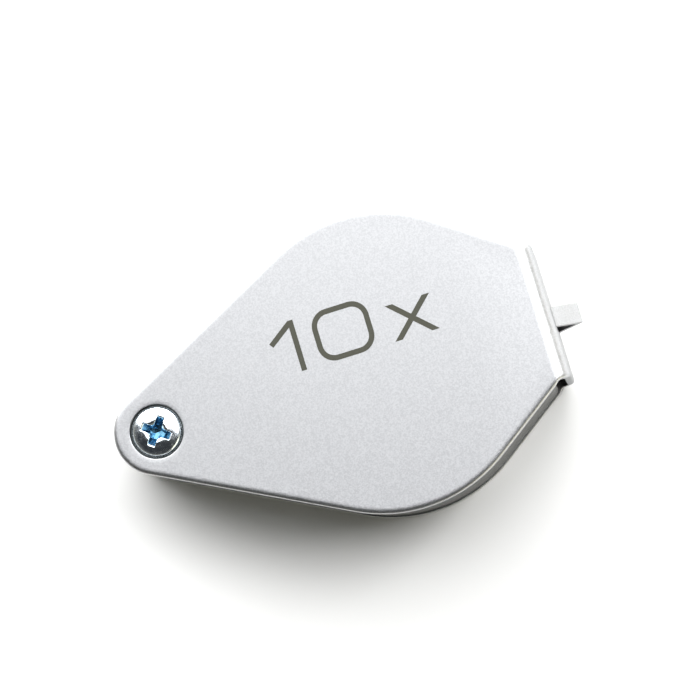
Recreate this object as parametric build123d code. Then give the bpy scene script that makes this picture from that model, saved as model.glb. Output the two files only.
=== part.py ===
"""Pocket folding loupe, 10x: a lens body that swings out of a folded sheet-metal case.

Millimetres, +Z up.  The loupe lies closed on its lower plate: X runs from the pivot (nose, -X)
to the web and lanyard eye (+X), Y across, and the origin is under the middle of the whole loupe.
Sub-parts are drawn about the pivot axis and moved to that origin when they are written.
"""
from build123d import *
from math import acos, asin, atan2, cos, hypot, pi, sin, sqrt, tan
import os

# ---- case: one folded sheet -------------------------------------------------
CASE_HEIGHT = 13.0          # over both plates
SHEET = 0.9                 # sheet thickness
NOSE_RADIUS = 5.0           # outline round the pivot
BOWL_RADIUS = 17.35         # outline round the lens
BOWL_X = 27.0               # lens centre from the pivot
WEB_X = 47.0                # outer face of the web from the pivot
WEB_HALF = 7.95             # half width of the web
CORNER_X = 45.75            # where the converging edges meet the web's width
BEND_RADIUS = 2.1           # outer radius of the two folds
EDGE_ROUND = 0.4            # rounded outer edge of the sheet
CORNER_ROUND = 1.0          # inside corner where the converging edges meet the web's ends

# ---- lanyard eye, lanced out of the web ---------------------------------------
EYE_REACH = 3.0             # stands out this far from the web
EYE_WIDTH = 2.3
EYE_Y = -0.75               # the strip sits a little off the middle of the web
EYE_SLIT = 0.1              # shear gap each side of the strip
EYE_CREST = 1.0             # straight stretch at the outer end
EYE_BEND = 0.7              # bend radius of the strip's middle line
EYE_FOOT = 0.2              # straight foot inside each end of the opening
EYE_ROOT = 0.4              # overlap of the strip with the web above and below the opening

# ---- pivot ---------------------------------------------------------------------
SEAT_DIAMETER = 6.26        # mouth of the pressed seat that takes the screw head
SEAT_WALL = 0.45            # straight wall of the mouth
SEAT_LIP = 0.1              # rounded mouth
SEAT_CONE = 5.6             # top of the 90 degree cone, inside the mouth's flat step
SEAT_HOLE = 3.4
SEAT_BOSS = 7.8             # outside of the pressed seat, under the plate
BOSS_DEPTH = 1.15           # how far it stands below the plate
SCREW_HEAD = 5.78           # raised countersunk head, 90 degree cone
SCREW_RIM = 0.25            # straight rim of the head
SCREW_DOME = 0.8            # dome above the rim
SCREW_THREAD = 3.0
SCREW_LENGTH = 9.0          # from the rim's top to the tip
RECESS_SPAN = 3.9           # across the cross recess
RECESS_SLOT = 0.9
RECESS_SPAN_LOW = 1.5
RECESS_SLOT_LOW = 0.5
RECESS_DEPTH = 1.9
RECESS_TURN = -35.5         # turn of the cross where the screw came to rest
RECESS_MOUTH = 1.35         # radius of the conical mouth between the four wings
RECESS_MOUTH_DEPTH = 1.5
RECESS_POINT = 0.15         # radius of the cone at its bottom
POST_DIAMETER = 5.0
POST_SPIGOT = 4.0
POST_RIVET = 4.8            # riveted-over end, flush with the lower plate
THREAD_RUNOUT = 0.5         # tapped hole below the screw's tip
WASHER_DIAMETER = 7.4
WASHER_BORE = 5.1
WASHER_THICKNESS = 0.4
SPRING_DIAMETER = 7.2
SPRING_HEIGHT = 0.35        # working height of the bowed washer
SPRING_SHEET = 0.2
AXIAL_PLAY = 0.05

# ---- lens body ------------------------------------------------------------------
PLATE_GAP = 0.2             # between each plate and the lens body
BODY_INSET = 0.2            # lens body outline inside the case outline
BODY_END_X = 44.9           # flat end that faces the web
BODY_CORNER = 1.0
BODY_ROUND = 0.6
RUNNING_FIT = 0.04          # radial clearance on the post
COUNTERBORE = 8.2
LENS_BORE = 27.0
LENS_BORE_CHAMFER = 0.3

# ---- optics: two plano-convex lenses, curved faces inward ------------------------
CELL_INSET = 0.05           # cell ends stand back from the body's faces
CELL_LIP = 0.85
CELL_CHAMFER = 0.5
LENS_DIAMETER = 24.0
LENS_RIM = 1.3              # rim thickness
LENS_CAP_RADIUS = 11.4      # radius where the curved face starts
LENS_CURVE = 24.5           # radius of the curved face
CLEAR_DIAMETER = 23.0
RING_DIAMETER = 25.4
RING_CHAMFER = 0.35
SPANNER_SLOT = 1.2
SPANNER_DEPTH = 0.4
SPACER_WALL = 0.45

# ---- drawing allowances -----------------------------------------------------------
TOLERANCE = 0.01            # how near an edge lies to the place that it is picked by
RIM_TOLERANCE = 0.02
SPARE = 1.0                 # how far a cutting tool runs on past what it cuts

# ---- worked out from the above ----------------------------------------------------
INNER_HEIGHT = CASE_HEIGHT - 2 * SHEET
BODY_BOTTOM = SHEET + PLATE_GAP
BODY_TOP = CASE_HEIGHT - SHEET - PLATE_GAP
BOSS_BOTTOM = CASE_HEIGHT - SHEET - BOSS_DEPTH
STEP_Z = CASE_HEIGHT - SEAT_WALL
HEAD_RIM_TOP = STEP_Z + (SCREW_HEAD - SEAT_CONE) / 2 + SCREW_RIM
SCREW_TIP = HEAD_RIM_TOP - SCREW_LENGTH
ORIGIN_X = (WEB_X + EYE_REACH - NOSE_RADIUS) / 2
LENS_SEAT_LOW = BODY_BOTTOM + CELL_INSET + CELL_LIP
LENS_SEAT_HIGH = BODY_TOP - CELL_INSET - CELL_LIP
FLANK_ANGLE = asin((BOWL_RADIUS - NOSE_RADIUS) / BOWL_X)
SHOULDER_ANGLE = atan2(WEB_HALF, CORNER_X - BOWL_X) + acos(
    BOWL_RADIUS / hypot(CORNER_X - BOWL_X, WEB_HALF))


def on_circle(centre_x, radius, angle):
    """Point on a circle about (centre_x, 0); angle from +X in radians."""
    return (centre_x + radius * cos(angle), radius * sin(angle))


def outline(inset, end_x, end_corner):
    """Teardrop outline as a face: nose arc, flanks, bowl arc and converging edges to end_x.

    end_corner is where the converging edges stop and run on parallel to X, or None.
    """
    nose = NOSE_RADIUS - inset
    bowl = BOWL_RADIUS - inset
    back = atan2(cos(FLANK_ANGLE), -sin(FLANK_ANGLE))
    nose_tangent = on_circle(0, nose, back)
    flank_end = on_circle(BOWL_X, bowl, back)
    bowl_middle = on_circle(BOWL_X, bowl, (back + SHOULDER_ANGLE) / 2)
    edge_start = on_circle(BOWL_X, bowl, SHOULDER_ANGLE)
    turn_x = end_corner or end_x
    turn_y = edge_start[1] - (turn_x - edge_start[0]) / tan(SHOULDER_ANGLE)
    with BuildSketch() as sketch:
        with BuildLine():
            ThreePointArc((-nose, 0), on_circle(0, nose, (back + pi) / 2), nose_tangent)
            Line(nose_tangent, flank_end)
            ThreePointArc(flank_end, bowl_middle, edge_start)
            Line(edge_start, (turn_x, turn_y))
            if end_corner:
                Line((turn_x, turn_y), (end_x, turn_y))
            Line((end_x, turn_y), (end_x, 0))
            mirror(about=Plane.XZ)
        make_face()
    return sketch.sketch


def disc(diameter, bottom, top):
    """Solid cylinder about the local Z axis between two heights."""
    return Pos(0, 0, bottom) * Cylinder(
        diameter / 2, top - bottom, align=(Align.CENTER, Align.CENTER, Align.MIN))


def ring(outer, inner, bottom, top):
    """Plain ring about the local Z axis."""
    return disc(outer, bottom, top) - disc(inner, bottom, top)


def folded_block():
    """Outside of the folded sheet as one solid: folds and rounded edges, not yet hollow."""
    block = extrude(outline(0, WEB_X, CORNER_X), CASE_HEIGHT)
    turns = [edge for edge in block.edges().filter_by(Axis.Z) if abs(edge.center().X - CORNER_X) < TOLERANCE]
    block = fillet(turns, CORNER_ROUND)
    folds = [edge for edge in block.edges().filter_by(Axis.Y) if edge.center().X > WEB_X - TOLERANCE]
    block = fillet(folds, BEND_RADIUS)
    return fillet(rim_edges(block), EDGE_ROUND)


def rim_edges(block):
    """Edges round both plates, along the folds and down the web's two ends."""
    rim = []
    for edge in block.edges():
        middle = edge.position_at(0.5)
        fold_x = max(0, middle.X - (WEB_X - BEND_RADIUS))
        fold_z = max(0, abs(middle.Z - CASE_HEIGHT / 2) - (CASE_HEIGHT / 2 - BEND_RADIUS))
        on_plate = min(middle.Z, CASE_HEIGHT - middle.Z) < RIM_TOLERANCE
        on_web = abs(middle.X - WEB_X) < RIM_TOLERANCE
        on_fold = abs(hypot(fold_x, fold_z) - BEND_RADIUS) < RIM_TOLERANCE
        if on_plate or on_web or on_fold:
            rim.append(edge)
    return rim


def eye_strip():
    """Strip lanced out of the web: two slanting legs and a short crest."""
    middle_x = WEB_X - SHEET / 2
    crest_x = WEB_X + EYE_REACH - SHEET / 2
    low = BEND_RADIUS
    high = CASE_HEIGHT - BEND_RADIUS
    middle_z = CASE_HEIGHT / 2
    path = FilletPolyline(
        (middle_x, 0, low - EYE_ROOT),
        (middle_x, 0, low + EYE_FOOT),
        (crest_x, 0, middle_z - EYE_CREST / 2),
        (crest_x, 0, middle_z + EYE_CREST / 2),
        (middle_x, 0, high - EYE_FOOT),
        (middle_x, 0, high + EYE_ROOT),
        radius=EYE_BEND)
    section = Plane(path @ 0, z_dir=path % 0) * Rectangle(SHEET, EYE_WIDTH)
    return Pos(0, EYE_Y, 0) * sweep(section, path)


def cone(low_diameter, high_diameter, bottom, top):
    """Solid cone frustum about the local Z axis between two heights."""
    return Pos(0, 0, bottom) * Cone(
        low_diameter / 2, high_diameter / 2, top - bottom, align=(Align.CENTER, Align.CENTER, Align.MIN))


def rivet_end():
    """Riveted-over end of the post, flush with the lower plate's outer face."""
    return cone(POST_RIVET, POST_SPIGOT, 0, (POST_RIVET - POST_SPIGOT) / 2) + disc(POST_SPIGOT, 0, SHEET)


def screw_seat():
    """Hollow of the pressed seat: straight mouth, flat step, 90 degree cone and clearance hole."""
    cone_bottom = STEP_Z - (SEAT_CONE - SEAT_HOLE) / 2
    seat = disc(SEAT_DIAMETER, STEP_Z, CASE_HEIGHT)
    seat += cone(SEAT_HOLE, SEAT_CONE, cone_bottom, STEP_Z)
    return seat + disc(SEAT_HOLE, BOSS_BOTTOM, cone_bottom)


def case_shell():
    """The folded case with its rounded edges, pressed screw seat, rivet hole and lanyard eye."""
    inside = Pos(WEB_X - SHEET, 0, SHEET) * Box(
        WEB_X + NOSE_RADIUS + SPARE, 2 * BOWL_RADIUS + SPARE, INNER_HEIGHT,
        align=(Align.MAX, Align.CENTER, Align.MIN))
    folds = inside.edges().filter_by(Axis.Y).group_by(Axis.X)[-1]
    shell = folded_block() - fillet(folds, BEND_RADIUS - SHEET)
    shell += disc(SEAT_BOSS, BOSS_BOTTOM, CASE_HEIGHT - SHEET / 2)
    shell -= screw_seat()
    lip = shell.edges().filter_by(GeomType.CIRCLE).filter_by(
        lambda edge: abs(edge.radius - SEAT_DIAMETER / 2) < TOLERANCE and edge.center().Z > STEP_Z + TOLERANCE)
    shell = fillet(lip, SEAT_LIP)
    shell -= rivet_end()
    shell -= Pos(WEB_X, EYE_Y, CASE_HEIGHT / 2) * Box(
        2 * SHEET + SPARE, EYE_WIDTH + 2 * EYE_SLIT, CASE_HEIGHT - 2 * BEND_RADIUS)
    return shell + eye_strip()


def pivot_post():
    """Threaded post riveted into the lower plate; the screw pulls the upper plate onto its top."""
    post = disc(POST_DIAMETER, SHEET, BOSS_BOTTOM) + rivet_end()
    return post - disc(SCREW_THREAD, SCREW_TIP - THREAD_RUNOUT, BOSS_BOTTOM)


def cross_recess(top):
    """Hollow of the cross recess: two crossing wedges and the conical mouth between their wings."""
    hollow = cone(2 * RECESS_POINT, 2 * RECESS_MOUTH, top - RECESS_MOUTH_DEPTH, top)
    for turn in (0, 90):
        wedge = loft([
            Pos(0, 0, top - RECESS_DEPTH) * Rectangle(RECESS_SPAN_LOW, RECESS_SLOT_LOW),
            Pos(0, 0, top) * Rectangle(RECESS_SPAN, RECESS_SLOT)])
        hollow += Rot(0, 0, turn) * wedge
    return hollow


def pivot_screw():
    """Raised countersunk cross-recess screw that closes the case on the post."""
    top = HEAD_RIM_TOP + SCREW_DOME
    rim = SCREW_HEAD / 2
    thread = SCREW_THREAD / 2
    cone_top = HEAD_RIM_TOP - SCREW_RIM
    dome_radius = (rim ** 2 + SCREW_DOME ** 2) / (2 * SCREW_DOME)
    with BuildSketch(Plane.XZ) as section:
        with BuildLine():
            Polyline(
                (0, top), (0, SCREW_TIP), (thread, SCREW_TIP), (thread, cone_top - rim + thread),
                (rim, cone_top), (rim, HEAD_RIM_TOP))
            RadiusArc((rim, HEAD_RIM_TOP), (0, top), -dome_radius)
        make_face()
    return Rot(0, 0, RECESS_TURN) * (revolve(section.sketch, Axis.Z) - cross_recess(top))


def upper_washer():
    """Flat washer under the pressed seat."""
    return ring(WASHER_DIAMETER, WASHER_BORE, BOSS_BOTTOM - WASHER_THICKNESS, BOSS_BOTTOM)


def spring_washer():
    """Bowed spring washer that gives the lens body its friction, drawn at its working height."""
    top = BOSS_BOTTOM - WASHER_THICKNESS
    bow = SPRING_HEIGHT - SPRING_SHEET
    inner_radius = ((SPRING_DIAMETER / 2) ** 2 - bow ** 2) / (2 * bow)
    outer_radius = inner_radius + SPRING_SHEET
    length = SPRING_DIAMETER + SPARE
    sleeve = Cylinder(outer_radius, length) - Cylinder(inner_radius, length)
    bowed = Pos(0, 0, top - outer_radius) * Rot(90, 0, 0) * sleeve
    return bowed & ring(SPRING_DIAMETER, WASHER_BORE, top - SPARE, top)


def lower_washer():
    """Flat washer on the lower plate."""
    return ring(WASHER_DIAMETER, WASHER_BORE, SHEET, SHEET + WASHER_THICKNESS)


def lens_body():
    """Cast arm and lens holder that swings on the post."""
    body = extrude(Pos(0, 0, BODY_BOTTOM) * outline(BODY_INSET, BODY_END_X, None), BODY_TOP - BODY_BOTTOM)
    body = fillet(body.edges().filter_by(Axis.Z).group_by(Axis.X)[-1], BODY_CORNER)
    ends = body.edges().group_by(Axis.Z)
    body = fillet(ends[0] + ends[-1], BODY_ROUND)
    body -= disc(POST_DIAMETER + 2 * RUNNING_FIT, BODY_BOTTOM, BODY_TOP)
    top_floor = BOSS_BOTTOM - WASHER_THICKNESS - SPRING_HEIGHT - AXIAL_PLAY
    body -= disc(COUNTERBORE, top_floor, BODY_TOP)
    body -= disc(COUNTERBORE, BODY_BOTTOM, SHEET + WASHER_THICKNESS + AXIAL_PLAY)
    body -= Pos(BOWL_X, 0, 0) * disc(LENS_BORE, BODY_BOTTOM, BODY_TOP)
    mouths = body.edges().filter_by(GeomType.CIRCLE).filter_by(
        lambda edge: abs(edge.radius - LENS_BORE / 2) < TOLERANCE)
    return chamfer(mouths, LENS_BORE_CHAMFER)


def lens_cell():
    """Black cell that holds both lenses: lower lip, lens bore and a wider bore for the ring."""
    low = BODY_BOTTOM + CELL_INSET
    high = BODY_TOP - CELL_INSET
    cell = disc(LENS_BORE, low, high)
    cell -= disc(LENS_DIAMETER, LENS_SEAT_LOW, LENS_SEAT_HIGH)
    cell -= disc(RING_DIAMETER, LENS_SEAT_HIGH, high)
    cell -= disc(CLEAR_DIAMETER, low, LENS_SEAT_LOW)
    lip = cell.edges().filter_by(GeomType.CIRCLE).group_by(Axis.Z)[0].filter_by(
        lambda edge: abs(edge.radius - CLEAR_DIAMETER / 2) < TOLERANCE)
    return Pos(BOWL_X, 0, 0) * chamfer(lip, CELL_CHAMFER)


def lens(flat_z, towards):
    """Plano-convex lens: flat face at flat_z, curved face towards +1 (up) or -1 (down)."""
    cap_height = LENS_CURVE - sqrt(LENS_CURVE ** 2 - LENS_CAP_RADIUS ** 2)
    with BuildSketch(Plane.XZ) as section:
        with BuildLine():
            Line((0, 0), (LENS_DIAMETER / 2, 0))
            Line((LENS_DIAMETER / 2, 0), (LENS_DIAMETER / 2, LENS_RIM))
            Line((LENS_DIAMETER / 2, LENS_RIM), (LENS_CAP_RADIUS, LENS_RIM))
            RadiusArc((LENS_CAP_RADIUS, LENS_RIM), (0, LENS_RIM + cap_height), -LENS_CURVE)
            Line((0, LENS_RIM + cap_height), (0, 0))
        make_face()
    glass = revolve(section.sketch, Axis.Z)
    if towards < 0:
        glass = mirror(glass, about=Plane.XY)
    return Pos(BOWL_X, 0, flat_z) * glass


def spacer_ring():
    """Ring that keeps the two lens rims apart."""
    outer = LENS_DIAMETER
    return Pos(BOWL_X, 0, 0) * ring(
        outer, outer - 2 * SPACER_WALL, LENS_SEAT_LOW + LENS_RIM, LENS_SEAT_HIGH - LENS_RIM)


def retaining_ring():
    """Threaded ring that closes the cell, with two spanner slots."""
    top = LENS_SEAT_HIGH + CELL_LIP
    body = ring(RING_DIAMETER, CLEAR_DIAMETER, LENS_SEAT_HIGH, top)
    mouth = body.edges().filter_by(GeomType.CIRCLE).group_by(Axis.Z)[-1].filter_by(
        lambda edge: abs(edge.radius - CLEAR_DIAMETER / 2) < TOLERANCE)
    body = chamfer(mouth, RING_CHAMFER)
    body -= Pos(0, 0, top) * Box(RING_DIAMETER + SPARE, SPANNER_SLOT, 2 * SPANNER_DEPTH)
    return Pos(BOWL_X, 0, 0) * body


SUBPARTS = {
    "case_shell": case_shell,
    "pivot_post": pivot_post,
    "pivot_screw": pivot_screw,
    "upper_washer": upper_washer,
    "spring_washer": spring_washer,
    "lower_washer": lower_washer,
    "lens_body": lens_body,
    "lens_cell": lens_cell,
    "lower_lens": lambda: lens(LENS_SEAT_LOW, 1),
    "upper_lens": lambda: lens(LENS_SEAT_HIGH, -1),
    "spacer_ring": spacer_ring,
    "retaining_ring": retaining_ring,
}

os.makedirs("parts", exist_ok=True)
for name, make in SUBPARTS.items():
    solid = Pos(-ORIGIN_X, 0, 0) * make()
    solid.label = name
    export_step(solid, f"parts/{name}.step")
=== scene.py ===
"""Looks for the folding pocket loupe: detailed case, screw and print, materials, floor, light and camera.

Everything is in metres in the CAD frame.  The case's mesh is drawn as the real one is made: a flat
stamped blank with rolled edges, pressed and lanced, then folded into a U round its two bend lines.
"""
from math import acos, asin, atan2, cos, hypot, pi, radians, sin, sqrt

import bmesh
import bpy
from mathutils import Matrix, Vector


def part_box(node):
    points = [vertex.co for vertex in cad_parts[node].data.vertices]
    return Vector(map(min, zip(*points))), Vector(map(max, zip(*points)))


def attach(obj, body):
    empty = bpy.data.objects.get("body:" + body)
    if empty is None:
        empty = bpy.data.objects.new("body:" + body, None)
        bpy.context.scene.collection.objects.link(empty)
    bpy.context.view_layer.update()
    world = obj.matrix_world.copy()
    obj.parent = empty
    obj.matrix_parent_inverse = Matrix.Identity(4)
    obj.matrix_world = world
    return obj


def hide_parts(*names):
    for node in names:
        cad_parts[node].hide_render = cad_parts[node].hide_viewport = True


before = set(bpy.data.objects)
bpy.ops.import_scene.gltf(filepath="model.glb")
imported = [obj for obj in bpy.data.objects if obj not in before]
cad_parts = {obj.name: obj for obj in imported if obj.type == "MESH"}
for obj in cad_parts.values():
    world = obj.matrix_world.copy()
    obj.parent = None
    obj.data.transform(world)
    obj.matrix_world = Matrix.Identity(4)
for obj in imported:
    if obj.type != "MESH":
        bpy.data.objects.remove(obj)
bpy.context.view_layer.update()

MM = 0.001


scene = bpy.context.scene

# ---- places and sizes read from the frame ----------------------------------------------------------
case_low, case_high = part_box("case_shell")
screw_low, screw_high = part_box("pivot_screw")
cell_low, cell_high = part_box("lens_cell")
PIVOT_X = (screw_low.x + screw_high.x) / 2
HEIGHT = case_high.z
NOSE_RADIUS = PIVOT_X - case_low.x
BOWL_RADIUS = (case_high.y - case_low.y) / 2
BOWL_X = (cell_low.x + cell_high.x) / 2 - PIVOT_X
EYE_TIP = case_high.x - PIVOT_X

# ---- case: sheet, folds and openings ---------------------------------------------------------------
SHEET = 0.9 * MM
EYE_REACH = 3.0 * MM
WEB_X = EYE_TIP - EYE_REACH
WEB_HALF = 7.95 * MM
CORNER_X = 45.75 * MM
CORNER_ROUND = 1.0 * MM
BEND_RADIUS = 2.1 * MM
FOLD_START = WEB_X - BEND_RADIUS
FOLD_LENGTH = BEND_RADIUS * pi / 2
BLANK_MIDDLE = FOLD_START + FOLD_LENGTH + HEIGHT / 2 - BEND_RADIUS
ROLL_LENGTH = 1.12 * MM      # length of the stamped edge's rolled-over section
ROLL_POWER = 3.3             # how late the roll turns down
ROLL_STEPS = 18
BURR = 0.05 * MM             # broken edge on the inner face
INNER_MARGIN = 0.25 * MM
NOSE_STEPS = 20              # stretches of the outline
BOWL_STEPS = 56
EDGE_STEPS = 5
CORNER_STEPS = 10
FOLD_STEPS = 14
WEB_STEPS = 18
EYE_Y = -0.75 * MM
EYE_HALF = 1.15 * MM
EYE_SLIT = 0.1 * MM
EYE_CREST = 0.5 * MM         # half of the strip's straight outer end
EYE_FOOT = 0.2 * MM          # flat web between the fold and the strip's first bend
EYE_ROUND = 0.55 * MM        # rounding of the strip's bends
SLIT_LOW = EYE_Y - EYE_HALF - EYE_SLIT
SLIT_HIGH = EYE_Y + EYE_HALF + EYE_SLIT
WEB_COLUMNS = (-5.4 * MM, -3.6 * MM, SLIT_LOW, EYE_Y - EYE_HALF, EYE_Y, EYE_Y + EYE_HALF, SLIT_HIGH,
               2.2 * MM, 3.8 * MM, 5.4 * MM)      # places across the web
STRIP_COLUMNS = (3, 4, 5)    # those that belong to the strip
SLITS = (3, 6)               # gaps beside the strip, counted from the web's edge
FOLD_MARGIN = 0.2 * MM       # the web's grid starts this far before the fold
TINY = 0.0001 * MM           # rounding allowance in comparisons
SLOPE_STEP = 0.01 * MM       # step that the strip's slope is measured over

# ---- pressed seat and rivet ------------------------------------------------------------------------
SEAT_RADIUS = 3.13 * MM
SEAT_STEP = 0.45 * MM
SEAT_CONE = 2.8 * MM
SEAT_HOLE = 1.7 * MM
SEAT_DISH = 0.5 * MM         # the plate dips a little round the seat
SEAT_DISH_DEPTH = 0.014 * MM
SEAT_LIP = 0.06 * MM
BOSS_RADIUS = 3.9 * MM
BOSS_DEPTH = 1.15 * MM
BOSS_ROUND = 0.25 * MM
RIVET_RADIUS = 2.4 * MM
SPIGOT_RADIUS = 2.0 * MM
RIVET_PROFILE = ((RIVET_RADIUS + BURR, 0), (RIVET_RADIUS, BURR),
                 (SPIGOT_RADIUS, RIVET_RADIUS - SPIGOT_RADIUS + BURR), (SPIGOT_RADIUS, SHEET))
AROUND = 96                  # points round a full circle
SEAT_DISH_STEPS = 8
SMOOTH_ANGLE = radians(32)   # sharper edges stay sharp

FLANK_ANGLE = pi / 2 + asin((BOWL_RADIUS - NOSE_RADIUS) / BOWL_X)
SHOULDER_ANGLE = atan2(WEB_HALF, CORNER_X - BOWL_X) + acos(
    BOWL_RADIUS / hypot(CORNER_X - BOWL_X, WEB_HALF))


# ---- small mesh helpers ----------------------------------------------------------------------------
def finish_mesh(name, shape, sharp_angle=SMOOTH_ANGLE):
    """Object from a bmesh: one skin, faces out, smooth but for edges sharper than the angle."""
    bmesh.ops.recalc_face_normals(shape, faces=shape.faces)
    for face in shape.faces:
        face.smooth = True
    for edge in shape.edges:
        edge.smooth = edge.is_manifold and edge.calc_face_angle(pi) < sharp_angle
    mesh = bpy.data.meshes.new(name)
    shape.to_mesh(mesh)
    shape.free()
    piece = bpy.data.objects.new(name, mesh)
    scene.collection.objects.link(piece)
    return piece


def bridge(shape, first, second):
    """Quads between two equally long rows of vertices, skipping places where they coincide."""
    for near, far, far_next, near_next in zip(first, second, second[1:], first[1:]):
        corners = list(dict.fromkeys((near, far, far_next, near_next)))
        if len(corners) > 2 and not shape.faces.get(corners):
            shape.faces.new(corners)


def lathe(shape, profile, centre, place):
    """Rings of vertices round a vertical axis; profile is (radius, drop) and place maps a point."""
    rings = []
    for radius, drop in profile:
        ring = []
        for step in range(AROUND):
            angle = 2 * pi * step / AROUND
            ring.append(shape.verts.new(place(centre + radius * cos(angle), radius * sin(angle), drop)))
        rings.append(ring)
    for first, second in zip(rings, rings[1:]):
        bridge(shape, first + first[:1], second + second[:1])
    return rings


def quarter_round(centre_r, centre_drop, radius, start, end, steps=5):
    """Points of a small arc in a lathe profile, angles from the outward radius towards the drop."""
    return [(centre_r + radius * cos(start + (end - start) * step / steps),
             centre_drop + radius * sin(start + (end - start) * step / steps))
            for step in range(steps + 1)]


# ---- the folded case -------------------------------------------------------------------------------
def fold(s, y, drop):
    """Place in the folded case of a point of the flat blank: s along it, drop below its outer face."""
    lower = s > BLANK_MIDDLE
    along = 2 * BLANK_MIDDLE - s if lower else s
    turn = (along - FOLD_START) / BEND_RADIUS
    radius = BEND_RADIUS - drop
    if turn <= 0:
        x = along
        z = HEIGHT - drop
    elif turn < pi / 2:
        x = FOLD_START + radius * sin(turn)
        z = HEIGHT - BEND_RADIUS + radius * cos(turn)
    else:
        x = FOLD_START + radius
        z = HEIGHT - BEND_RADIUS - (along - FOLD_START - FOLD_LENGTH)
    return Vector((PIVOT_X + x, y, HEIGHT - z if lower else z))


def arc_points(centre_x, radius, start, end, steps):
    """Outline points (s, y, normal angle) on an arc about (centre_x, 0)."""
    angles = [start + (end - start) * step / steps for step in range(steps + 1)]
    return [(centre_x + radius * cos(angle), radius * sin(angle), angle) for angle in angles]


def half_outline():
    """Outline of the blank's +Y side from the upper plate's nose to the lower plate's nose."""
    points = arc_points(0, NOSE_RADIUS, pi, FLANK_ANGLE, NOSE_STEPS)
    points += arc_points(BOWL_X, BOWL_RADIUS, FLANK_ANGLE, SHOULDER_ANGLE, BOWL_STEPS)
    edge_distance = BOWL_X * cos(SHOULDER_ANGLE) + BOWL_RADIUS
    centre_y = WEB_HALF + CORNER_ROUND
    centre_s = (edge_distance + CORNER_ROUND - centre_y * sin(SHOULDER_ANGLE)) / cos(SHOULDER_ANGLE)
    corner_s = centre_s - CORNER_ROUND * cos(SHOULDER_ANGLE)
    for step in range(EDGE_STEPS):
        s = FOLD_START + (corner_s - FOLD_START) * step / EDGE_STEPS
        points.append((s, (edge_distance - s * cos(SHOULDER_ANGLE)) / sin(SHOULDER_ANGLE), SHOULDER_ANGLE))
    for step in range(CORNER_STEPS + 1):
        angle = SHOULDER_ANGLE + (pi / 2 - SHOULDER_ANGLE) * step / CORNER_STEPS
        points.append((centre_s - CORNER_ROUND * cos(angle), centre_y - CORNER_ROUND * sin(angle), angle))
    fold_end = FOLD_START + FOLD_LENGTH
    for start, end, steps in ((centre_s, fold_end, FOLD_STEPS), (fold_end, BLANK_MIDDLE, WEB_STEPS)):
        for step in range(1, steps + 1):
            points.append((start + (end - start) * step / steps, WEB_HALF, pi / 2))
    far_half = [(2 * BLANK_MIDDLE - s, y, pi - angle) for s, y, angle in reversed(points[:-1])]
    return points + far_half


def edge_section():
    """Cross-section of the stamped edge as (inset, drop), from the outer face to the inner face."""
    step_length = ROLL_LENGTH / ROLL_STEPS
    section = [(0.0, 0.0)]
    for step in range(ROLL_STEPS):
        slope = pi / 2 * ((step + 0.5) / ROLL_STEPS) ** ROLL_POWER
        inset, drop = section[-1]
        section.append((inset - step_length * cos(slope), drop + step_length * sin(slope)))
    width = -section[-1][0]
    section = [(max(0.0, inset + width), drop) for inset, drop in section]
    return section + [(0.0, SHEET - BURR), (BURR, SHEET), (INNER_MARGIN, SHEET)]


def soft_positive(value, softness):
    """The value where it is positive and 0 where it is negative, with a rounded corner between."""
    return (value + sqrt(value ** 2 + softness ** 2)) / 2


def eye_place(y, z, drop):
    """Place of a point of the lanced strip, bowed out of the web."""
    foot = HEIGHT / 2 - BEND_RADIUS - EYE_FOOT

    def reach(height):
        along = (foot - abs(height - HEIGHT / 2)) / (foot - EYE_CREST)
        softness = EYE_ROUND / (foot - EYE_CREST)
        return EYE_REACH * (1 - soft_positive(1 - soft_positive(along, softness), softness))

    slope = (reach(z + SLOPE_STEP) - reach(z - SLOPE_STEP)) / (2 * SLOPE_STEP)
    length = hypot(1, slope)
    peak = reach(HEIGHT / 2)
    x = WEB_X + reach(z) * EYE_REACH / peak - drop / length
    return Vector((PIVOT_X + x, y, z + drop * slope / length))


def plate_face(shape, border, hole):
    """Fills a flat plate between its border and a round hole."""
    loops = (border, hole + hole[:1])
    pairs = [pair for loop in loops for pair in zip(loop, loop[1:])]
    edges = [shape.edges.get(pair) or shape.edges.new(pair) for pair in pairs]
    bmesh.ops.triangle_fill(shape, use_beauty=True, use_dissolve=False, edges=edges)


def edge_columns(shape, outline, section):
    """Skin of the rolled edge on both sides of the blank, as columns of vertices round the outline."""
    def column(point, side):
        s, y, angle = point
        return [shape.verts.new(fold(s - inset * cos(angle), side * (y - inset * sin(angle)), drop))
                for inset, drop in section]

    right = [column(point, 1) for point in outline]
    left = [right[0]] + [column(point, -1) for point in outline[1:-1]] + [right[-1]]
    for columns in (right, left):
        for first, second in zip(columns, columns[1:]):
            bridge(shape, first, second)
    return right, left


def web_skin(shape, outline, level, borders, web, slot):
    """Skin of the folds and the web on one face of the sheet, open at the two slits.

    level is that face's (inset, drop) at the edge, borders are its edge vertices on both sides, and
    web and slot are ranges along the outline.
    """
    inset, drop = level
    right, left = borders
    rows = []
    for k in range(web[0], web[1] + 1):
        s, _, angle = outline[k]
        row = [left[k]]
        for index, y in enumerate(WEB_COLUMNS):
            place = fold(s - inset * cos(angle), y, drop)
            if index in STRIP_COLUMNS and slot[0] < k < slot[1]:
                place = eye_place(y, place.z, drop)
            row.append(shape.verts.new(place))
        rows.append(row + [right[k]])
    for k, (row, following) in enumerate(zip(rows, rows[1:]), web[0]):
        for m in range(len(row) - 1):
            if not (m in SLITS and slot[0] <= k < slot[1]):
                shape.faces.new((row[m], row[m + 1], following[m + 1], following[m]))
    return rows


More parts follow.
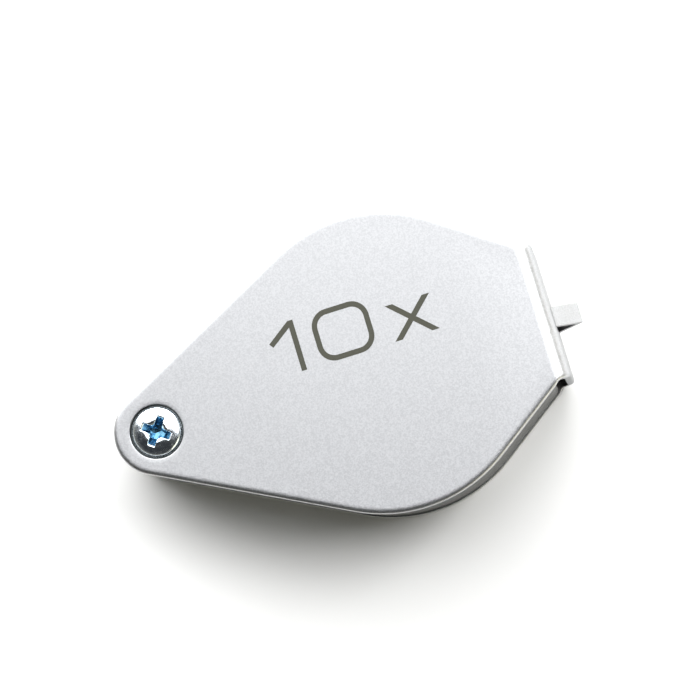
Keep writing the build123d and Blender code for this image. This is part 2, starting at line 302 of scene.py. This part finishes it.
def slit_walls(shape, outer, inner):
    """Walls of the two slits beside the strip, through the sheet; outer and inner are the slot's rows."""
    for m in SLITS:
        for side in (m, m + 1):
            bridge(shape, [row[side] for row in outer], [row[side] for row in inner])
        for end in (0, -1):
            bridge(shape, outer[end][m:m + 2], inner[end][m:m + 2])


def seat_profile():
    """Profile (radius, drop) of the pressed screw seat, from the plate's top face to its under face."""
    profile = []
    for step in range(SEAT_DISH_STEPS + 1):
        share = step / SEAT_DISH_STEPS
        profile.append((SEAT_RADIUS + SEAT_LIP + SEAT_DISH * (1 - share), SEAT_DISH_DEPTH * share ** 2))
    profile += quarter_round(SEAT_RADIUS + SEAT_LIP, SEAT_DISH_DEPTH + SEAT_LIP, SEAT_LIP, -pi / 2, -pi)[1:]
    bottom = SHEET + BOSS_DEPTH
    profile += [(SEAT_RADIUS, SEAT_STEP), (SEAT_CONE, SEAT_STEP),
                (SEAT_HOLE, SEAT_STEP + SEAT_CONE - SEAT_HOLE), (SEAT_HOLE, bottom)]
    profile += quarter_round(BOSS_RADIUS - BOSS_ROUND, bottom - BOSS_ROUND, BOSS_ROUND, pi / 2, 0)
    profile += quarter_round(BOSS_RADIUS + BOSS_ROUND, SHEET + BOSS_ROUND, BOSS_ROUND, -pi, -pi / 2)
    return profile


def case_piece():
    """The case as one closed skin: rolled edges, folds, screw seat, rivet hole and lanced eye."""
    shape = bmesh.new()
    outline = half_outline()
    section = edge_section()
    right, left = edge_columns(shape, outline, section)
    last = len(outline) - 1
    start = next(k for k, (s, _, angle) in enumerate(outline)
                 if s - section[0][0] * cos(angle) > FOLD_START - FOLD_MARGIN and angle > SHOULDER_ANGLE)
    slot_start = next(k for k, point in enumerate(outline) if point[0] > FOLD_START + FOLD_LENGTH - TINY)
    web = (start, last - start)
    slot = (slot_start, last - slot_start)
    borders = [[[column[face] for column in columns] for columns in (right, left)] for face in (0, -1)]
    skins = [web_skin(shape, outline, section[face], borders[face], web, slot) for face in (0, -1)]
    slit_walls(shape, *(rows[slot[0] - start:slot[1] - start + 1] for rows in skins))

    seat = lathe(shape, seat_profile(), 0, fold)
    rivet = lathe(shape, RIVET_PROFILE, 2 * BLANK_MIDDLE, fold)
    for face in (0, -1):
        rows = skins[face]
        right, left = borders[face]
        plate_face(shape, right[:start + 1] + rows[0][-2::-1] + left[start - 1::-1], seat[face])
        plate_face(shape, right[web[1]:] + left[-2:web[1] - 1:-1] + rows[-1][1:], rivet[face])
    return finish_mesh("case_shell_folded", shape)


# ---- pivot screw: domed head with a cross recess ---------------------------------------------------
HEAD_RADIUS = (screw_high.x - screw_low.x) / 2
HEAD_RIM_TOP = HEIGHT - 0.11 * MM          # the rim lies just inside the seat's mouth
HEAD_RIM = 0.25 * MM
DOME = 0.8 * MM
DOME_RADIUS = (HEAD_RADIUS ** 2 + DOME ** 2) / (2 * DOME)
RIM_ROUND = 0.6 * MM
CONE_PLAY = 0.02 * MM
SHANK_RADIUS = 1.5 * MM
TIP_CHAMFER = 0.35 * MM
RECESS_TURN = radians(-35.5)
RECESS_DEPTH = 1.9 * MM
RECESS_REACH = (1.95 * MM, 0.75 * MM)      # half span of an arm at the top and at the bottom
RECESS_SLOT = (0.46 * MM, 0.24 * MM)       # half width of an arm at the top and at the bottom
RECESS_END_LEAN = 0.85                     # how steep the arms' end walls stand
RECESS_CORE = 1.0 * MM                     # radius of the cone that joins the arms
RECESS_MOUTH = 1.18 * MM                   # distance of the four sloping mouth facets from the middle
RECESS_MOUTH_SLOPE = 0.75
RECESS_POINT = 0.22                        # slope of the four bottom facets
RECESS_BLEND = 0.14 * MM
GRID_LINES = ((0.18, 3), (0.56, 15), (1.74, 12), (2.04, 7))   # (end in mm, steps) from the middle
CORNER_START = GRID_LINES[1][0] * MM       # outside this line the grid's corners are drawn round
HEAD_RING = 2.20 * MM        # ring of vertices between the grid and the rim
HALVINGS = 22                # steps of the search for the head's height
PLACE_DIGITS = 9             # mirrored places agree to a nanometre and share one search
SCREW_SMOOTH_ANGLE = radians(40)


def soft_max(first, second):
    """Greater of two distances with a rounded corner between them."""
    share = max(RECESS_BLEND - abs(first - second), 0) / RECESS_BLEND
    return max(first, second) + share * share * RECESS_BLEND / 4


def dome_height(radius):
    """Height of the domed head's skin at a radius."""
    return HEAD_RIM_TOP + sqrt(DOME_RADIUS ** 2 - radius ** 2) - DOME_RADIUS + DOME


def recess_distance(along, across, z):
    """Distance outside the cross recess, negative inside it."""
    top = HEAD_RIM_TOP + DOME
    share = min(max((top - z) / RECESS_DEPTH, 0), 1)
    floor = top - RECESS_DEPTH + RECESS_POINT * max(along, across) - z
    arms = []
    for length, width in ((along, across), (across, along)):
        side = width - RECESS_SLOT[0] * (1 - share) - RECESS_SLOT[1] * share
        end = (length - RECESS_REACH[0] * (1 - share) - RECESS_REACH[1] * share) * RECESS_END_LEAN
        arms.append(soft_max(side, end))
    core = hypot(along, across) - RECESS_CORE * (1 - share)
    facet = ((along + across) / sqrt(2) - RECESS_MOUTH) * RECESS_MOUTH_SLOPE - z + dome_height(RECESS_MOUTH)
    return max(-soft_max(soft_max(-arms[0], -arms[1]), soft_max(-core, -facet)), floor)


def head_height(along, across):
    """Height of the head's skin, found by halving between the recess floor and the dome."""
    low = HEAD_RIM_TOP + DOME - RECESS_DEPTH - RECESS_BLEND
    high = HEAD_RIM_TOP + DOME
    radius = hypot(along, across)
    for _ in range(HALVINGS):
        middle = (low + high) / 2
        inside = soft_max(middle - dome_height(radius), -recess_distance(along, across, middle)) < 0
        low, high = (middle, high) if inside else (low, middle)
    return low


def rounded_square(along, across):
    """Moves a grid point so that the grid's corners lie on a round border."""
    reach = GRID_LINES[-1][0] * MM - CORNER_START
    extra = [max(abs(value) - CORNER_START, 0) for value in (along, across)]
    if min(extra) == 0:
        return along, across
    moved = [extra[0] * sqrt(1 - (extra[1] / reach) ** 2 / 2),
             extra[1] * sqrt(1 - (extra[0] / reach) ** 2 / 2)]
    signs = (1 if along > 0 else -1, 1 if across > 0 else -1)
    return signs[0] * (moved[0] + CORNER_START), signs[1] * (moved[1] + CORNER_START)


def grid_lines():
    """Places of the head's grid lines on both sides of its middle."""
    lines = [0.0]
    for end, steps in GRID_LINES:
        start = lines[-1]
        lines += [start + (end * MM - start) * step / steps for step in range(1, steps + 1)]
    return [-line for line in lines[:0:-1]] + lines


def head_grid(shape, centre):
    """Skin of the recessed dome; returns the vertices of its border as a closed loop."""
    known = {}
    turn = Matrix.Rotation(RECESS_TURN, 3, "Z")

    def head_vertex(along, across):
        along, across = rounded_square(along, across)
        key = tuple(sorted(round(abs(value), PLACE_DIGITS) for value in (along, across)))
        if key not in known:
            known[key] = head_height(*key)
        return shape.verts.new(centre + turn @ Vector((along, across, known[key])))

    lines = grid_lines()
    rows = [[head_vertex(along, across) for along in lines] for across in lines]
    for first, second in zip(rows, rows[1:]):
        bridge(shape, first, second)
    border = rows[0][:-1] + [row[-1] for row in rows[:-1]]
    border += rows[-1][:0:-1] + [row[0] for row in rows[:0:-1]]
    return border + border[:1]


def screw_profile():
    """Profile (radius, height) of the screw outside the grid, from the dome's edge to the tip."""
    rim_middle = HEAD_RADIUS - RIM_ROUND
    dome_to_rim = DOME_RADIUS - RIM_ROUND
    arc_height = HEAD_RIM_TOP - DOME_RADIUS + DOME + sqrt(dome_to_rim ** 2 - rim_middle ** 2)
    rim_bottom = HEAD_RIM_TOP - HEAD_RIM
    profile = [(HEAD_RING, dome_height(HEAD_RING))]
    profile += quarter_round(rim_middle, arc_height, RIM_ROUND, acos(rim_middle / dome_to_rim), 0)
    return profile + [
        (HEAD_RADIUS, rim_bottom), (HEAD_RADIUS - CONE_PLAY, rim_bottom),
        (SHANK_RADIUS, rim_bottom - HEAD_RADIUS + CONE_PLAY + SHANK_RADIUS),
        (SHANK_RADIUS, screw_low.z + TIP_CHAMFER), (SHANK_RADIUS - TIP_CHAMFER, screw_low.z)]


def screw_piece():
    """The screw as one closed skin."""
    shape = bmesh.new()
    centre = Vector((PIVOT_X, 0, 0))
    border = head_grid(shape, centre)
    directions = [((vertex.co - centre) * Vector((1, 1, 0))).normalized() for vertex in border[:-1]]
    for radius, height in screw_profile():
        level = centre + Vector((0, 0, height))
        ring = [shape.verts.new(level + direction * radius) for direction in directions]
        ring.append(ring[0])
        bridge(shape, border, ring)
        border = ring
    shape.faces.new(border[:-1])
    return finish_mesh("pivot_screw_detailed", shape, SCREW_SMOOTH_ANGLE)


# ---- magnification mark ----------------------------------------------------------------------------
INK_LIFT = 0.012 * MM        # height of the ink over the plate
STROKE = 0.62 * MM
MARK_LOW = 1.62 * MM         # foot of the digits and of the cross
MARK_HIGH = 7.60 * MM        # top of the digits
SMALL_HIGH = 5.85 * MM       # top of the cross
ONE_X = 18.28 * MM           # middle of the one's stem
ONE_FLAG = ((15.24 * MM, 5.64 * MM), (15.60 * MM, 5.14 * MM))     # outer end of the one's upstroke
ONE_FLAG_DROP = 0.78 * MM                  # height of the upstroke where it meets the stem
ZERO_X = (20.42 * MM, 27.12 * MM)
ZERO_Y = (1.59 * MM, 7.64 * MM)
ZERO_CORNER = 2.0 * MM
ZERO_CORNER_STEPS = 12
MERGE_DISTANCE = 0.001 * MM
CROSS_X = (29.55 * MM, 33.95 * MM)


def ink_patch(shape, corners):
    """Flat quad of ink on the upper plate; corners are (x from the pivot, y)."""
    shape.faces.new([shape.verts.new((PIVOT_X + x, y, HEIGHT + INK_LIFT)) for x, y in corners])


def cross_mark(shape):
    """Multiplication cross with level ends."""
    middle_x = sum(CROSS_X) / 2
    middle_y = (MARK_LOW + SMALL_HIGH) / 2
    reach_x = (CROSS_X[1] - CROSS_X[0]) / 2
    reach_y = (SMALL_HIGH - MARK_LOW) / 2
    half = STROKE / 2 * hypot(reach_x, reach_y) / reach_y
    side = [(half, 0), (reach_x + half, reach_y), (reach_x - half, reach_y), (0, half * reach_y / reach_x)]
    core = [(half, 0), (0, half * reach_y / reach_x), (-half, 0), (0, -half * reach_y / reach_x)]
    ink_patch(shape, [(middle_x + x, middle_y + y) for x, y in core])
    for sign_x, sign_y in ((1, 1), (-1, 1), (-1, -1), (1, -1)):
        ink_patch(shape, [(middle_x + sign_x * x, middle_y + sign_y * y) for x, y in side])


def rounded_frame(shape, left, right, low, high, corner):
    """Rounded square ring of ink."""
    outer = []
    inner = []
    for centre_x, centre_y, start in ((right, high, 0), (left, high, 1), (left, low, 2), (right, low, 3)):
        centre_x += corner if centre_x == left else -corner
        centre_y += corner if centre_y == low else -corner
        for step in range(ZERO_CORNER_STEPS + 1):
            angle = pi / 2 * (start + step / ZERO_CORNER_STEPS)
            for loop, radius in ((outer, corner), (inner, corner - STROKE)):
                loop.append((centre_x + radius * cos(angle), centre_y + radius * sin(angle)))
    for index in range(len(outer)):
        following = (index + 1) % len(outer)
        ink_patch(shape, [outer[index], outer[following], inner[following], inner[index]])


def mark_piece():
    """The number 10 and a multiplication cross, printed on the upper plate."""
    shape = bmesh.new()
    half = STROKE / 2
    ink_patch(shape, [(ONE_X - half, MARK_LOW), (ONE_X + half, MARK_LOW),
                      (ONE_X + half, MARK_HIGH), (ONE_X - half, MARK_HIGH)])
    ink_patch(shape, [*ONE_FLAG, (ONE_X - half, MARK_HIGH - ONE_FLAG_DROP), (ONE_X - half, MARK_HIGH)])
    rounded_frame(shape, *ZERO_X, *ZERO_Y, ZERO_CORNER)
    cross_mark(shape)
    bmesh.ops.remove_doubles(shape, verts=shape.verts, dist=MERGE_DISTANCE)
    return finish_mesh("magnification_mark", shape)


# ---- camera ----------------------------------------------------------------------------------------
CAMERA_DISTANCE = 350 * MM
CAMERA_TILT_X = radians(-4.94)
CAMERA_TILT_Y = radians(-6.44)
CAMERA_TURN = radians(17.40)
CAMERA_SHIFT = Vector((-0.58, -2.66)) * MM      # where the aim point stands from the middle of the view
CAMERA_LENS_MM = 158.3
SENSOR_MM = 36
AIM_DROP = 0.8 * MM          # aim point under the plate's top face
CLIP_START = 10 * MM


def look_rotation():
    """Rotation from the loupe's frame to the camera's frame."""
    turn = Matrix.Rotation(CAMERA_TURN, 3, "Z")
    tilt_x = Matrix.Rotation(CAMERA_TILT_X, 3, "X")
    tilt_y = Matrix.Rotation(CAMERA_TILT_Y, 3, "Y")
    return tilt_y @ tilt_x @ turn


def make_camera():
    """Camera nearly overhead, a little to the wide end and the near side."""
    data = bpy.data.cameras.new("camera")
    data.lens = CAMERA_LENS_MM
    data.sensor_width = SENSOR_MM
    data.clip_start = CLIP_START
    camera = bpy.data.objects.new("camera", data)
    scene.collection.objects.link(camera)
    to_world = look_rotation().transposed()
    offset = Vector((-CAMERA_SHIFT.x, -CAMERA_SHIFT.y, CAMERA_DISTANCE))
    place = Vector((0, 0, HEIGHT - AIM_DROP)) + to_world @ offset
    camera.matrix_world = Matrix.Translation(place) @ to_world.to_4x4()
    scene.camera = camera


# ---- shader node helpers ---------------------------------------------------------------------------
MIX_SHARE, MIX_FIRST, MIX_SECOND = 0, 6, 7     # a mix node's inputs for colours
MIX_RESULT = 2                                 # and its output


def new_material(name):
    """Material with a Principled shader."""
    material = bpy.data.materials.new(name)
    material.use_nodes = True
    return material, material.node_tree, material.node_tree.nodes["Principled BSDF"]


def add(tree, kind, settings=None, **inputs):
    """Node of a kind with attribute settings and constant inputs."""
    node = tree.nodes.new(kind)
    for key, value in (settings or {}).items():
        setattr(node, key, value)
    for key, value in inputs.items():
        node.inputs[key.replace("_", " ")].default_value = value
    return node


def plug(tree, value, socket):
    """Links an output, or sets a constant."""
    if isinstance(value, bpy.types.NodeSocket):
        tree.links.new(value, socket)
    else:
        socket.default_value = value


def math_node(tree, operation, *values):
    """Result of a math node."""
    node = add(tree, "ShaderNodeMath", {"operation": operation})
    for value, socket in zip(values, node.inputs):
        plug(tree, value, socket)
    return node.outputs[0]


def ramp(tree, value, from_low, from_high, to_low, to_high):
    """Value carried smoothly from one range to another and held outside it."""
    node = add(tree, "ShaderNodeMapRange", {"interpolation_type": "SMOOTHSTEP"})
    for source, socket in zip((value, from_low, from_high, to_low, to_high), node.inputs):
        plug(tree, source, socket)
    return node.outputs[0]


def mix_colour(tree, share, first, second):
    """Colour between two colours."""
    node = add(tree, "ShaderNodeMix", {"data_type": "RGBA"})
    for value, index in ((share, MIX_SHARE), (first, MIX_FIRST), (second, MIX_SECOND)):
        plug(tree, value, node.inputs[index])
    return node.outputs[MIX_RESULT]


def place_from_pivot(tree):
    """Radius from the pivot's axis and height, in millimetres of the loupe at rest."""
    shift = add(tree, "ShaderNodeVectorMath", {"operation": "MULTIPLY_ADD"})
    tree.links.new(add(tree, "ShaderNodeTexCoord").outputs["Object"], shift.inputs[0])
    shift.inputs[1].default_value = (1 / MM, 1 / MM, 1 / MM)
    shift.inputs[2].default_value = (-PIVOT_X / MM, 0, 0)
    split = add(tree, "ShaderNodeSeparateXYZ")
    tree.links.new(shift.outputs[0], split.inputs[0])
    flat = add(tree, "ShaderNodeVectorMath", {"operation": "MULTIPLY"})
    tree.links.new(shift.outputs[0], flat.inputs[0])
    flat.inputs[1].default_value = (1, 1, 0)
    length = add(tree, "ShaderNodeVectorMath", {"operation": "LENGTH"})
    tree.links.new(flat.outputs[0], length.inputs[0])
    return length.outputs["Value"], split.outputs["Z"]


def grain(tree, size_mm, detail, roughness=0.5):
    """Noise value with features of a size."""
    noise = add(tree, "ShaderNodeTexNoise", Scale=1 / (size_mm * MM), Detail=detail, Roughness=roughness)
    tree.links.new(add(tree, "ShaderNodeTexCoord").outputs["Object"], noise.inputs["Vector"])
    return noise.outputs[0]


def bump(tree, shader, height, depth_mm):
    """Relief of a depth."""
    node = add(tree, "ShaderNodeBump", Strength=1.0, Distance=depth_mm * MM)
    tree.links.new(height, node.inputs["Height"])
    tree.links.new(node.outputs[0], shader.inputs["Normal"])


# ---- light and floor -------------------------------------------------------------------------------
SOFTBOXES = (                        # name, size, place, watts and colour
    ("side_softbox", (0.45, 0.35), (0.585, 0.100, 0.545), 3.1, (1, 1, 1)),
    ("back_softbox", (0.42, 0.09), (-0.019, 0.234, 0.086), 0.70, (1, 1, 1)),
    ("front_softbox", (0.50, 0.30), (0.459, -0.595, 0.274), 0.75, (1.0, 0.97, 0.74)))
BACK = (0.1725, 0.8067, 0.5649)      # middle of the tent's bright side
TENT_EDGE = (0.575, 0.655)           # cosines from that middle: open dark side, full brightness
TENT_COLOUR = (0.985, 0.99, 1.0, 1)
ROOM_COLOURS = ((1.0, 0.95, 0.78, 1), (0.90, 0.93, 1.0, 1))   # dim room in front: low down and high up
TENT_STRENGTH = 1.92
DARK_STRENGTH = 0.055
ROOM_LOW_STRENGTH = (0.15, 0.42)     # at the horizon, as matte and as glossy surfaces see it
ROOM_LOW_TOP = 0.62                  # height where the horizon's glow has faded out
LOW_SHARE = 1.9                      # brightness at the horizon against the top
LOW_TOP = 0.82                       # height where that share reaches 1
PALE_STRENGTH = 1.0                  # plain backdrop behind the table
ROOM_COLOUR_HEIGHTS = (0.1, 0.6)
FLOOR_SIZE = 1.5
FLOOR_GAP = 0.02 * MM
FLOOR_COLOUR = (0.91, 0.91, 0.90, 1)
FLOOR_ROUGHNESS = 0.6


def make_lights():
    """Rectangular softboxes that face the loupe."""
    for name, size, place, watts, colour in SOFTBOXES:
        data = bpy.data.lights.new(name, "AREA")
        data.shape = "RECTANGLE"
        data.size, data.size_y = size
        data.energy = watts
        data.color = colour
        light = bpy.data.objects.new(name, data)
        scene.collection.objects.link(light)
        light.location = place
        light.visible_camera = False
        light.rotation_euler = (-Vector(place)).to_track_quat("-Z", "Y").to_euler()


def make_world():
    """Studio tent that is bright behind and overhead, and open to a dim room in front."""
    world = bpy.data.worlds.new("studio_tent")
    world.use_nodes = True
    tree = world.node_tree
    output = tree.nodes["World Output"]
    tent = tree.nodes["Background"]
    direction = add(tree, "ShaderNodeTexCoord").outputs["Generated"]
    back = add(tree, "ShaderNodeVectorMath", {"operation": "DOT_PRODUCT"})
    back.inputs[1].default_value = BACK
    tree.links.new(direction, back.inputs[0])
    side = ramp(tree, back.outputs["Value"], *TENT_EDGE, 0, 1)
    split = add(tree, "ShaderNodeSeparateXYZ")
    tree.links.new(direction, split.inputs[0])
    low = ramp(tree, split.outputs["Z"], 0, LOW_TOP, LOW_SHARE, 1)
    bright = math_node(tree, "MULTIPLY", side, low)
    room_colour = mix_colour(tree, ramp(tree, split.outputs["Z"], *ROOM_COLOUR_HEIGHTS, 0, 1), *ROOM_COLOURS)
    tree.links.new(mix_colour(tree, side, room_colour, TENT_COLOUR), tent.inputs["Color"])
    path = add(tree, "ShaderNodeLightPath").outputs
    glow = ramp(tree, path["Is Glossy Ray"], 0, 1, *ROOM_LOW_STRENGTH)
    room = ramp(tree, split.outputs["Z"], 0, ROOM_LOW_TOP, glow, DARK_STRENGTH)
    strength = math_node(tree, "MULTIPLY_ADD", bright, TENT_STRENGTH, room)
    tree.links.new(strength, tent.inputs["Strength"])
    pale = add(tree, "ShaderNodeBackground", Strength=PALE_STRENGTH)
    mix = add(tree, "ShaderNodeMixShader")
    tree.links.new(path["Is Camera Ray"], mix.inputs[0])
    tree.links.new(tent.outputs[0], mix.inputs[1])
    tree.links.new(pale.outputs[0], mix.inputs[2])
    tree.links.new(mix.outputs[0], output.inputs["Surface"])
    scene.world = world


def make_floor():
    """Plain white table."""
    mesh = bpy.data.meshes.new("floor")
    shape = bmesh.new()
    bmesh.ops.create_grid(shape, x_segments=1, y_segments=1, size=FLOOR_SIZE)
    shape.to_mesh(mesh)
    shape.free()
    floor = bpy.data.objects.new("floor", mesh)
    floor.location.z = -FLOOR_GAP
    scene.collection.objects.link(floor)
    material, tree, shader = new_material("white_table")
    shader.inputs["Base Color"].default_value = FLOOR_COLOUR
    shader.inputs["Roughness"].default_value = FLOOR_ROUGHNESS
    mesh.materials.append(material)


# ---- materials -------------------------------------------------------------------------------------
NOISE_SPAN = (0.3, 0.7)          # where most of a noise texture's values lie
CHROME = ((0.535, 0.54, 0.55, 1), (0.625, 0.63, 0.64, 1))
CHROME_ROUGHNESS = (0.33, 0.41)
CHROME_GRAZING = (0.55, 0.55, 0.55, 1)
# Painted shade: the plate's colour darkens in the seat's narrow gap round the screw head.
PAINTED_SEAT_SHADE = (0.09, 0.10, 0.10, 1)
PAINTED_SEAT_SHADE_RADII = (SEAT_RADIUS / MM + 0.02, SEAT_RADIUS / MM + 0.1)     # it fades out between these
PAINTED_SEAT_SHADE_HEIGHTS = (HEIGHT / MM - 0.42, HEIGHT / MM - 0.20)
PAINTED_SEAT_SHADE_FLOOR = (2, 3)            # none on the lower plate
ZINC = ((0.72, 0.80, 0.86, 1), (0.84, 0.88, 0.90, 1))
# Painted shade over the zinc's own blue: the recess colours below grow darker with depth under the dome.
ZINC_RECESS_TINT_AND_SHADE = ((0.30, 0.50, 0.64, 1), (0.54, 0.70, 0.80, 1))
ZINC_DEEPEST_TINT_AND_SHADE = (0.20, 0.41, 0.57, 1)
ZINC_ROUGHNESS = (0.16, 0.28)
RECESS_DEPTHS = (0.12, 0.5)      # the recess's blue comes in between these depths under the dome
DEEPEST_DEPTHS = (0.9, 1.7)
RECESS_RADII = (2.1, 2.2)
CAST = ((0.10, 0.10, 0.098, 1), (0.19, 0.19, 0.185, 1))
CAST_ROUGHNESS = (0.40, 0.55)
BLACK = ((0.018, 0.018, 0.020, 1), (0.030, 0.030, 0.032, 1))
STEEL = ((0.48, 0.48, 0.47, 1), (0.60, 0.60, 0.59, 1))
TURNED_SPREAD = 0.15             # roughness varies by this share
GLASS_TINT = (0.985, 0.995, 1.0, 1)
GLASS_IOR = 1.52
COAT_IOR = 1.38
COAT_NM = 115
DUST_SPAN = (0.45, 0.8)
DUST_ROUGHNESS = 0.03
NYLON = ((0.78, 0.76, 0.70, 1), (0.86, 0.85, 0.80, 1))
NYLON_ROUGHNESS = 0.45
INK = ((0.055, 0.055, 0.040, 1), (0.080, 0.080, 0.062, 1))
INK_ROUGHNESS = 0.6


def satin_chrome():
    """Satin chrome plate with a fine pearl grain, and painted shade: the colour is darkened in the narrow
    gap of the screw seat round the head.
    """
    material, tree, shader = new_material("satin_chrome")
    pearl = grain(tree, size_mm=0.17, detail=1.5)
    share = ramp(tree, pearl, *NOISE_SPAN, 0, 1)
    radius, height = place_from_pivot(tree)
    # Painted shade in the seat's gap round the screw head, kept off the lower plate.
    painted_seat_shade = math_node(tree, "MULTIPLY", ramp(tree, radius, *PAINTED_SEAT_SHADE_RADII, 1, 0),
                        ramp(tree, height, *PAINTED_SEAT_SHADE_HEIGHTS, 1, 0))
    painted_seat_shade = math_node(tree, "MULTIPLY", painted_seat_shade, ramp(tree, height, *PAINTED_SEAT_SHADE_FLOOR, 0, 1))
    colour = mix_colour(tree, painted_seat_shade, mix_colour(tree, share, *CHROME), PAINTED_SEAT_SHADE)
    tree.links.new(colour, shader.inputs["Base Color"])
    shader.inputs["Metallic"].default_value = 1
    shader.inputs["Specular Tint"].default_value = CHROME_GRAZING
    tree.links.new(ramp(tree, pearl, *NOISE_SPAN, *CHROME_ROUGHNESS), shader.inputs["Roughness"])
    bump(tree, shader, pearl, depth_mm=0.0045)
    return material


def blue_zinc():
    """Blue passivated zinc; the recess is a deeper blue that is partly the zinc's own tint and partly
    painted shade, darker with depth.
    """
    material, tree, shader = new_material("blue_zinc")
    radius, height = place_from_pivot(tree)
    dome = math_node(tree, "MULTIPLY_ADD", math_node(tree, "MULTIPLY", radius, radius),
                     -MM / (2 * DOME_RADIUS), (HEAD_RIM_TOP + DOME) / MM)
    depth = math_node(tree, "SUBTRACT", dome, height)
    inside = math_node(tree, "MULTIPLY", ramp(tree, depth, *RECESS_DEPTHS, 0, 1),
                       ramp(tree, radius, *RECESS_RADII, 1, 0))
    mottle = grain(tree, size_mm=0.5, detail=3.0)
    # Painted shade: darker with depth in the recess, over the zinc's own blue tint.
    recess_tint_and_shade = mix_colour(tree, ramp(tree, depth, *DEEPEST_DEPTHS, 0, 1),
                      mix_colour(tree, mottle, *ZINC_RECESS_TINT_AND_SHADE), ZINC_DEEPEST_TINT_AND_SHADE)
    colour = mix_colour(tree, inside, mix_colour(tree, mottle, *ZINC), recess_tint_and_shade)
    tree.links.new(colour, shader.inputs["Base Color"])
    shader.inputs["Metallic"].default_value = 1
    tree.links.new(ramp(tree, mottle, *NOISE_SPAN, *ZINC_ROUGHNESS), shader.inputs["Roughness"])
    bump(tree, shader, grain(tree, size_mm=0.22, detail=2.0), depth_mm=0.006)
    return material


def cast_plated():
    """Matte plated casting with a tumbled texture."""
    material, tree, shader = new_material("cast_plated")
    skin = grain(tree, size_mm=0.35, detail=4.0, roughness=0.65)
    tree.links.new(mix_colour(tree, skin, *CAST), shader.inputs["Base Color"])
    shader.inputs["Metallic"].default_value = 1
    tree.links.new(ramp(tree, skin, *NOISE_SPAN, *CAST_ROUGHNESS), shader.inputs["Roughness"])
    bump(tree, shader, skin, depth_mm=0.03)
    return material


def turned(name, colours, centre_x, metallic, roughness, pitch_mm, depth_mm):
    """Lathe-turned surface with fine circular tool marks about a vertical axis."""
    material, tree, shader = new_material(name)
    shift = add(tree, "ShaderNodeVectorMath", {"operation": "SUBTRACT"})
    tree.links.new(add(tree, "ShaderNodeTexCoord").outputs["Object"], shift.inputs[0])
    shift.inputs[1].default_value = (centre_x, 0, 0)
    # The rings repeat about every 1 / (pi * Scale).
    marks = add(tree, "ShaderNodeTexWave", {"wave_type": "RINGS", "rings_direction": "Z"},
                Scale=1 / (pitch_mm * MM * pi), Distortion=0.6, Detail=2.0)
    tree.links.new(shift.outputs[0], marks.inputs["Vector"])
    speck = grain(tree, size_mm=0.4, detail=3.0)
    spread = (roughness * (1 - TURNED_SPREAD), roughness * (1 + TURNED_SPREAD))
    tree.links.new(mix_colour(tree, speck, *colours), shader.inputs["Base Color"])
    shader.inputs["Metallic"].default_value = metallic
    tree.links.new(ramp(tree, speck, *NOISE_SPAN, *spread), shader.inputs["Roughness"])
    bump(tree, shader, marks.outputs["Fac"], depth_mm)
    return material


def coated_glass():
    """Polished lens glass with a single anti-reflection layer and a trace of dust."""
    material, tree, shader = new_material("coated_glass")
    shader.inputs["Base Color"].default_value = GLASS_TINT
    shader.inputs["Transmission Weight"].default_value = 1
    shader.inputs["IOR"].default_value = GLASS_IOR
    shader.inputs["Thin Film Thickness"].default_value = COAT_NM
    shader.inputs["Thin Film IOR"].default_value = COAT_IOR
    dust = grain(tree, size_mm=1.2, detail=5.0, roughness=0.7)
    tree.links.new(ramp(tree, dust, *DUST_SPAN, 0, DUST_ROUGHNESS), shader.inputs["Roughness"])
    return material


def nylon():
    """Natural nylon."""
    material, tree, shader = new_material("nylon")
    cloud = grain(tree, size_mm=0.8, detail=3.0)
    tree.links.new(mix_colour(tree, cloud, *NYLON), shader.inputs["Base Color"])
    shader.inputs["Roughness"].default_value = NYLON_ROUGHNESS
    bump(tree, shader, cloud, depth_mm=0.01)
    return material


def ink():
    """Matte olive-grey pad-print ink."""
    material, tree, shader = new_material("ink")
    speck = grain(tree, size_mm=0.25, detail=2.0)
    tree.links.new(mix_colour(tree, speck, *INK), shader.inputs["Base Color"])
    shader.inputs["Roughness"].default_value = INK_ROUGHNESS
    return material


def dress(material, *nodes):
    """Gives CAD nodes their material."""
    for node in nodes:
        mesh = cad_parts[node].data
        mesh.materials.clear()
        mesh.materials.append(material)


# ---- the scene -------------------------------------------------------------------------------------
scene.view_settings.view_transform = "Standard"
scene.view_settings.look = "Medium High Contrast"
make_camera()
make_world()
make_lights()
make_floor()
for piece, material, node, slot in (
        (case_piece(), satin_chrome(), "case_shell", "case_satin_chrome"),
        (screw_piece(), blue_zinc(), "pivot_screw", "screw_blue_zinc")):
    piece.data.materials.append(material)
    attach(piece, "case")
    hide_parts(node)
mark = mark_piece()
mark.data.materials.append(ink())
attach(mark, "case")

lens_x = PIVOT_X + BOWL_X
black = turned("black_anodised", BLACK, lens_x, metallic=0.3, roughness=0.38, pitch_mm=0.16, depth_mm=0.012)
steel = turned("turned_steel", STEEL, PIVOT_X, metallic=1, roughness=0.30, pitch_mm=0.12, depth_mm=0.006)
dress(cast_plated(), "lens_body")
dress(black, "lens_cell", "spacer_ring", "retaining_ring")
dress(steel, "pivot_post", "upper_washer", "spring_washer")
dress(nylon(), "lower_washer")
dress(coated_glass(), "lower_lens", "upper_lens")
